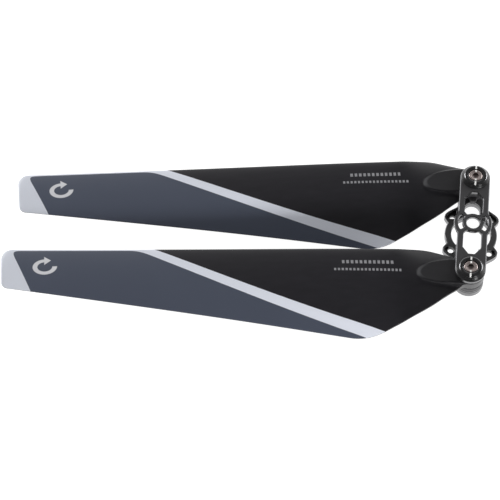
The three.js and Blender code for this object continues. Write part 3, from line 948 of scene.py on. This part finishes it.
# Two rows of plain dashes, which lean with the leading edge about this point.
RULE_CENTRE = 52
RULE_LEAN = 0.06
RULE_EDGE = 0.18
RULES = (
    {"centre_u": 51.8, "length": 27.12, "centre_v": -7.2, "height": 1.7, "pitch": 2.26, "gap": 0.95},
    {"centre_u": 52, "length": 35.1, "centre_v": -3.3, "height": 1.2, "pitch": 1.95, "gap": 0.85},
)
MARK_CENTRE = (216.2, -13.9)
MARK_RADIUS = 3.35
MARK_STROKE = 1.6
MARK_STRETCH = 1.5  # the mark is this much wider than it is high
MARK_EDGE = 0.2
ARROW_LENGTH = 2.1
ARROW_OVERLAP = 0.2

# Where the painted highlight lies on the bevel round the tongue's nose:
BEVEL_HIGHLIGHT_RADIUS = 0.94  # as a share of the tongue's nose


def grain(n):
    """The fine texture that a moulded composite takes from its tool, with a faint flow of its fibres."""
    fine = n.noise(0.35, detail=4, roughness=0.6)
    flow = n.noise(2.2, stretch=(0.25, 1, 1))
    moulded = n.bump(fine, depth_mm=0.006, strength=0.5)
    return n.bump(flow, depth_mm=0.012, strength=0.35, under=moulded), flow


def moulded_black(end):
    n = new_material(f"moulded_black_{end}", end)
    normal, flow = grain(n)
    colour = n.shade(RAW_BLACK, n.span(flow, 0.7, 1.35))
    return n.finish(colour, n.span(n.noise(1.1), 0.26, 0.36), normal, Specular_IOR_Level=1.0)


def rule(n, u, across, centre_u, length, centre_v, height, pitch, gap):
    """A row of plain dashes, parallel to the leading edge."""
    along = n.less(length / 2, n.size(n.less(u, centre_u)))
    beside = n.less(height / 2, n.size(n.less(across, centre_v)))
    place = n.size(n.less(n.math("FLOORED_MODULO", n.less(u, centre_u), pitch), pitch / 2))
    dash = n.less(pitch / 2 - gap / 2, place)
    return n.inside(n.lowest(along, beside, dash), RULE_EDGE)


def turning_mark(n, u, v):
    """An open ring with an arrowhead: the rotor turns clockwise, seen from above."""
    x, y = n.times(n.less(MARK_CENTRE[0], u), 1 / MARK_STRETCH), n.less(v, MARK_CENTRE[1])
    radius = n.length(x, y)
    ring = n.less(MARK_STROKE / 2, n.size(n.less(radius, MARK_RADIUS)))
    opening = n.highest(n.times(x, -1), y)
    arc_part = n.lowest(ring, opening)
    beside = n.size(n.add(y, MARK_RADIUS))
    head = n.lowest(n.add(x, ARROW_OVERLAP), n.less(n.less(ARROW_LENGTH, x), beside))
    return n.inside(n.highest(arc_part, head), MARK_EDGE)


def curve(n, u, start, height, slope, bend, finish):
    """A bowed line across the blade, whose bow is nothing at its start and its finish."""
    past = n.less(u, start)
    return n.add(height, n.times(past, slope), n.times(n.times(past, n.less(u, finish)), bend))


def painted_highlight_bevel(n, u, v):
    """1 on the bevel round the tongue's nose, where a paler black is painted on as a highlight, and 0 away
    from it.
    """
    x = n.times(n.less(u, TONGUE_STRAIGHT), 1 / (TONGUE_REACH - TONGUE_STRAIGHT))
    y = n.times(n.less(v, TONGUE_CENTRE), 1 / TONGUE_HALF_WIDTH)
    reach = n.length(x, y)
    bevel = n.span(n.size(n.less(reach, BEVEL_HIGHLIGHT_RADIUS)), 1, 0, start=0.03, end=0.08)
    return n.times(n.times(bevel, n.span(u, 0, 1, start=20, end=26)), n.span(v, 1, 0, start=0, end=3))


def painted_blade(end):
    """Black at the root, a silver sweep, a slate panel, and a silver tip and leading edge."""
    n = new_material(f"painted_blade_{end}", end)
    u, v, _ = n.axes_mm()
    upper = curve(n, u, **BLACK_EDGE)
    lower = curve(n, u, **PANEL_EDGE)
    border = n.add(LEADING_AT_PIVOT + PANEL_BORDER, n.times(u, LEADING_SLOPE))
    beyond_sweep = n.times(n.less(v, lower), SWEEP_SLANT)
    beyond_border = n.less(v, border)
    tip_line = n.add(TIP_LINE_START, n.times(v, TIP_LINE_SLOPE))
    before_tip = n.times(n.less(tip_line, u), TIP_LINE_SLANT)
    panel = n.math("SMOOTH_MIN", beyond_sweep, beyond_border, SWEEP_CORNER)
    panel = n.math("SMOOTH_MIN", panel, before_tip, TIP_CORNER)
    before_sweep = n.times(n.less(upper, v), SWEEP_SLANT)
    in_panel, in_black = n.inside(panel), n.inside(before_sweep)

    across = n.add(v, n.times(n.less(u, RULE_CENTRE), RULE_LEAN))
    marks = n.highest(*(rule(n, u, across, **sizes) for sizes in RULES))
    mark = turning_mark(n, u, v)

    normal, flow = grain(n)
    cloud = n.noise(26, detail=2)
    flake = n.noise(0.22, detail=2, roughness=0.7)
    # Painted light: the silver is made paler from the tip back towards the sweep, standing in for how the
    # light falls along the blade.
    painted_sweep_light = n.span(u, 1.4, 1.12, start=60, end=BLADE_LENGTH)  # the sweep is paler than the tip
    silver = n.shade(n.shade(SILVER, painted_sweep_light), n.span(flake, 0.93, 1.07))
    slate = n.shade(SLATE, n.span(cloud, 0.94, 1.06))
    colour = n.mix(in_panel, silver, slate)
    # Painted shade: the black is made darker towards the root, standing in for shade there.
    painted_root_shade = n.span(u, 0.5, 1, start=14, end=50)
    black = n.shade(n.shade(BLACK, n.span(flow, 0.8, 1.25)), painted_root_shade)
    # Painted highlight: the bevel round the tongue's nose is given a paler black.
    black = n.mix(painted_highlight_bevel(n, u, v), black, PAINTED_HIGHLIGHT_BLACK)
    colour = n.mix(in_black, colour, black)
    colour = n.mix(marks, colour, FAINT_MARKING)
    colour = n.mix(mark, colour, MARKING)
    paint = n.less(1, in_black)
    roughness = n.add(n.span(n.noise(1.1), 0.34, 0.42), n.times(paint, 0.04))
    printed = n.highest(paint, marks, mark)
    film = n.bump(printed, depth_mm=0.02, strength=0.6, under=normal)
    return n.finish(colour, roughness, film, Specular_IOR_Level=0.45)


STRIPE_HALF_WIDTH = 0.42
STRIPE_WAVER = 0.12
BOSS_STRIPE = (3.95, 6.1)  # from the pivot, where the paint on the boss starts and ends
HEAD_STRIPE = (2.1, 3.45)
STRIPE_LOWEST = PLATE_TOP + 0.5
TURNING_PITCH = 0.22  # between the tool marks on a screw's head


def torque_stripe(n, x, y, near, far):
    """White paint across the screw's head and onto the boss, along the arm, with uneven edges."""
    waver = n.span(n.noise(0.8), -STRIPE_WAVER, STRIPE_WAVER)
    along = n.less(n.size(y), PIVOT_RADIUS)
    reach = n.size(along)
    beside = n.less(n.add(STRIPE_HALF_WIDTH, waver), n.size(x))
    ends = n.lowest(n.less(n.add(far, waver), reach), n.less(reach, near))
    return n.inside(n.lowest(beside, ends), edge=0.1)


def anodised(name, roughness, colour, metal, gloss=0.6):
    """Black anodised aluminium: bead blasted on its faces, and smoother where it was machined."""
    n = new_material(name)
    x, y, z = n.axes_mm()
    stripe = n.times(torque_stripe(n, x, y, *BOSS_STRIPE), n.inside(n.less(z, STRIPE_LOWEST)))
    fine = n.noise(0.18, roughness=0.6)
    patch = n.noise(5)
    base = n.shade(colour, n.span(patch, 0.85, 1.18))
    base = n.mix(stripe, base, WHITE_PAINT)
    rough = n.span(n.noise(1.4), roughness * 0.85, roughness * 1.2)
    normal = n.bump(fine, depth_mm=0.006, strength=roughness)
    n.link(n.times(n.less(1, stripe), metal), n.shader.inputs["Metallic"])
    return n.finish(base, n.add(rough, n.times(stripe, 0.2)), normal, Specular_IOR_Level=gloss)


def screw_steel():
    """Plated steel with turning marks round the head."""
    n = new_material("screw_steel")
    x, y, _ = n.axes_mm()
    along = n.less(n.size(y), PIVOT_RADIUS)
    radius = n.length(x, along)
    rings = n.math("SINE", n.times(radius, 2 * math.pi / TURNING_PITCH))
    stripe = torque_stripe(n, x, y, *HEAD_STRIPE)
    colour = n.shade(HEAD_STEEL, n.span(n.noise(0.9, detail=4), 0.7, 1.25))
    colour = n.mix(stripe, colour, WHITE_PAINT)
    plating = n.bump(n.noise(0.25), depth_mm=0.006, strength=0.4)
    normal = n.bump(rings, depth_mm=0.004, strength=0.5, under=plating)
    n.link(n.times(n.less(1, stripe), 0.9), n.shader.inputs["Metallic"])
    return n.finish(colour, n.span(n.noise(0.6), 0.26, 0.42), normal)


def plain_metal(name, colour, roughness):
    n = new_material(name)
    shade = n.shade(colour, n.span(n.noise(0.7, detail=4), 0.75, 1.2))
    normal = n.bump(n.noise(0.2), depth_mm=0.005, strength=0.4)
    return n.finish(shade, n.span(n.noise(0.9), roughness - 0.06, roughness + 0.08), normal, Metallic=1.0)


def washer_nylon():
    n = new_material("washer_nylon")
    shade = n.shade(NYLON, n.span(n.noise(1.5), 0.85, 1.15))
    normal = n.bump(n.noise(0.15), depth_mm=0.006, strength=0.4)
    return n.finish(shade, n.span(n.noise(0.9), 0.36, 0.48), normal)


# ---------- the object


def fit(piece, body, node, slot, *materials):
    for material in materials:
        piece.data.materials.append(material)
    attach(piece, body)
    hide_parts(node)


def build_object():
    plate = [anodised("anodised_black", 0.36, ANODISED_FACE, metal=0.0, gloss=0.9),
             anodised("anodised_edge", 0.16, ANODISED_EDGE, metal=1.0),
             anodised("anodised_machined", 0.24, ANODISED_SIDE, metal=1.0),
             anodised("anodised_boss", 0.28, ANODISED_BOSS, metal=0.0, gloss=0.5)]
    steel = plain_metal("plain_steel", STEEL, roughness=0.32)
    bronze = plain_metal("sintered_bronze", BRONZE, roughness=0.42)
    nylon = washer_nylon()
    screw = screw_steel()
    # Painted shade: the socket's faces are given a darker steel than the head.
    socket = plain_metal("socket_painted_shade", SOCKET_PAINTED_SHADE, roughness=0.34)

    fit(top_plate(), "hub", "top_plate", "anodised", *plate)
    fit(base_plate(), "hub", "base_plate", "anodised", *plate)

    pattern = blade_mesh()
    shape = pattern.data
    bpy.data.objects.remove(pattern)
    for end, side in ENDS.items():
        fit(pivot_screw(end), "hub", f"pivot_screw_{end}", "steel", screw, socket)
        fit(turned_ring("screw_washer", end, CLEARANCE_RADIUS, HEAD_RADIUS, COUNTERBORE_FLOOR,
                        HEAD_BOTTOM, 0.06),
            "hub", f"screw_washer_{end}", "steel", steel)
        fit(turned_ring("sleeve", end, BORE_RADIUS, SLEEVE_OUTER, ARM_TOP, PLATE_BOTTOM, 0.15),
            "hub", f"pivot_sleeve_{end}", "steel", steel)
        fit(turned_ring("upper_washer", end, WASHER_BORE, WASHER_RADIUS, UPPER_WASHER_BOTTOM,
                        PLATE_BOTTOM, 0.1),
            "hub", f"upper_friction_washer_{end}", "nylon", nylon)
        fit(keyed_washer(end), "hub", f"lower_friction_washer_{end}", "nylon", nylon)
        fit(turned_piece(f"insert_{end}", end, INSERT_PROFILE),
            "hub", f"threaded_insert_{end}", "steel", steel)
        fit(turned_ring("bush", end, BUSH_BORE, BUSH_OUTER, ROOT_BOTTOM, ROOT_TOP, 0.12),
            f"blade_{end}", f"root_bush_{end}", "bronze", bronze)

        blade = add_object(f"blade_{end}_fine", shape.copy())
        place = Matrix.Translation((0, side * PIVOT_RADIUS * MM, 0))
        blade.data.transform(place @ Matrix.Rotation(blade_turn(end), 4, "Z"))
        fit(blade, f"blade_{end}", f"blade_{end}", "composite", painted_blade(end), moulded_black(end))


# ---------- floor, light and camera

CAMERA_TARGET = (-113.6, -19.5, 0)
CAMERA_DISTANCE = 977.7
CAMERA_ELEVATION = 58.405
CAMERA_AZIMUTH = 6.365
CAMERA_ROLL = -0.316
CAMERA_LENS = 135.3
CAMERA_SENSOR = 36
FLOOR_HALF_SIZE = 6  # metres
FLOOR_GAP = 0.3  # millimetres below the object
FLOOR_GLOW = 0.96


def floor():
    mesh = bpy.data.meshes.new("floor")
    height = cad_box[0][2] - FLOOR_GAP * MM
    size = FLOOR_HALF_SIZE
    corners = [(-size, -size, height), (size, -size, height), (size, size, height), (-size, size, height)]
    mesh.from_pydata(corners, [], [(0, 1, 2, 3)])
    made = add_object("floor", mesh)
    n = new_material("floor")
    n.shader.inputs["Emission Color"].default_value = (1, 1, 1, 1)
    n.shader.inputs["Emission Strength"].default_value = FLOOR_GLOW
    mesh.materials.append(n.finish(colour=(0.3, 0.3, 0.3), roughness=0.9))


def area_light(name, place, target, size, power, glints=True):
    data = bpy.data.lights.new(name, "AREA")
    data.shape = "RECTANGLE"
    data.size, data.size_y = size
    data.energy = power
    made = add_object(name, data)
    made.visible_glossy = glints
    made.location = place
    made.rotation_euler = (Vector(target) - Vector(place)).to_track_quat("-Z", "Y").to_euler()


def surroundings():
    """A studio with a bright wall behind the object, and a dark ceiling and front."""
    world = bpy.data.worlds.new("studio")
    n = Nodes(world, place="Generated")
    _, y, z = n.axes()
    wall = n.span(y, 0.10, 1.15, start=-0.25, end=0.8, ramp="SMOOTHSTEP")
    ceiling = n.span(z, 1.0, 0.22, start=0.3, end=0.9, ramp="SMOOTHSTEP")
    background = n.tree.nodes["Background"]
    n.link(n.times(wall, ceiling), background.inputs["Strength"])
    background.inputs["Color"].default_value = (1, 1, 1, 1)
    bpy.context.scene.world = world
    middle = (-0.11, 0, 0)
    hub = (0, 0, 0.01)
    area_light("back_left", (-1.35, 0.75, 0.75), middle, size=(0.9, 0.7), power=19)
    area_light("back_right", (1.1, 0.8, 0.7), middle, size=(0.9, 0.7), power=13.5)
    area_light("front_low", (-0.1, -1.3, 0.22), middle, size=(1.6, 0.25), power=15.5, glints=False)
    area_light("front_right", (0.55, -0.65, 0.12), hub, size=(0.2, 0.2), power=1.6)


def camera():
    data = bpy.data.cameras.new("camera")
    data.lens = CAMERA_LENS
    data.sensor_width = CAMERA_SENSOR
    data.sensor_fit = "HORIZONTAL"
    data.clip_start, data.clip_end = 0.01, 50
    made = add_object("camera", data)
    turn = Matrix.Rotation(math.radians(CAMERA_AZIMUTH), 4, "Z")
    tilt = Matrix.Rotation(math.radians(90 - CAMERA_ELEVATION), 4, "X")
    roll = Matrix.Rotation(math.radians(CAMERA_ROLL), 4, "Z")
    facing = turn @ tilt @ roll
    back = facing @ Vector((0, 0, 1))
    place = Vector(CAMERA_TARGET) * MM + back * CAMERA_DISTANCE * MM
    made.matrix_world = Matrix.Translation(place) @ facing
    bpy.context.scene.camera = made


camera()
floor()
surroundings()
bpy.context.scene.view_settings.view_transform = "Standard"
build_object()
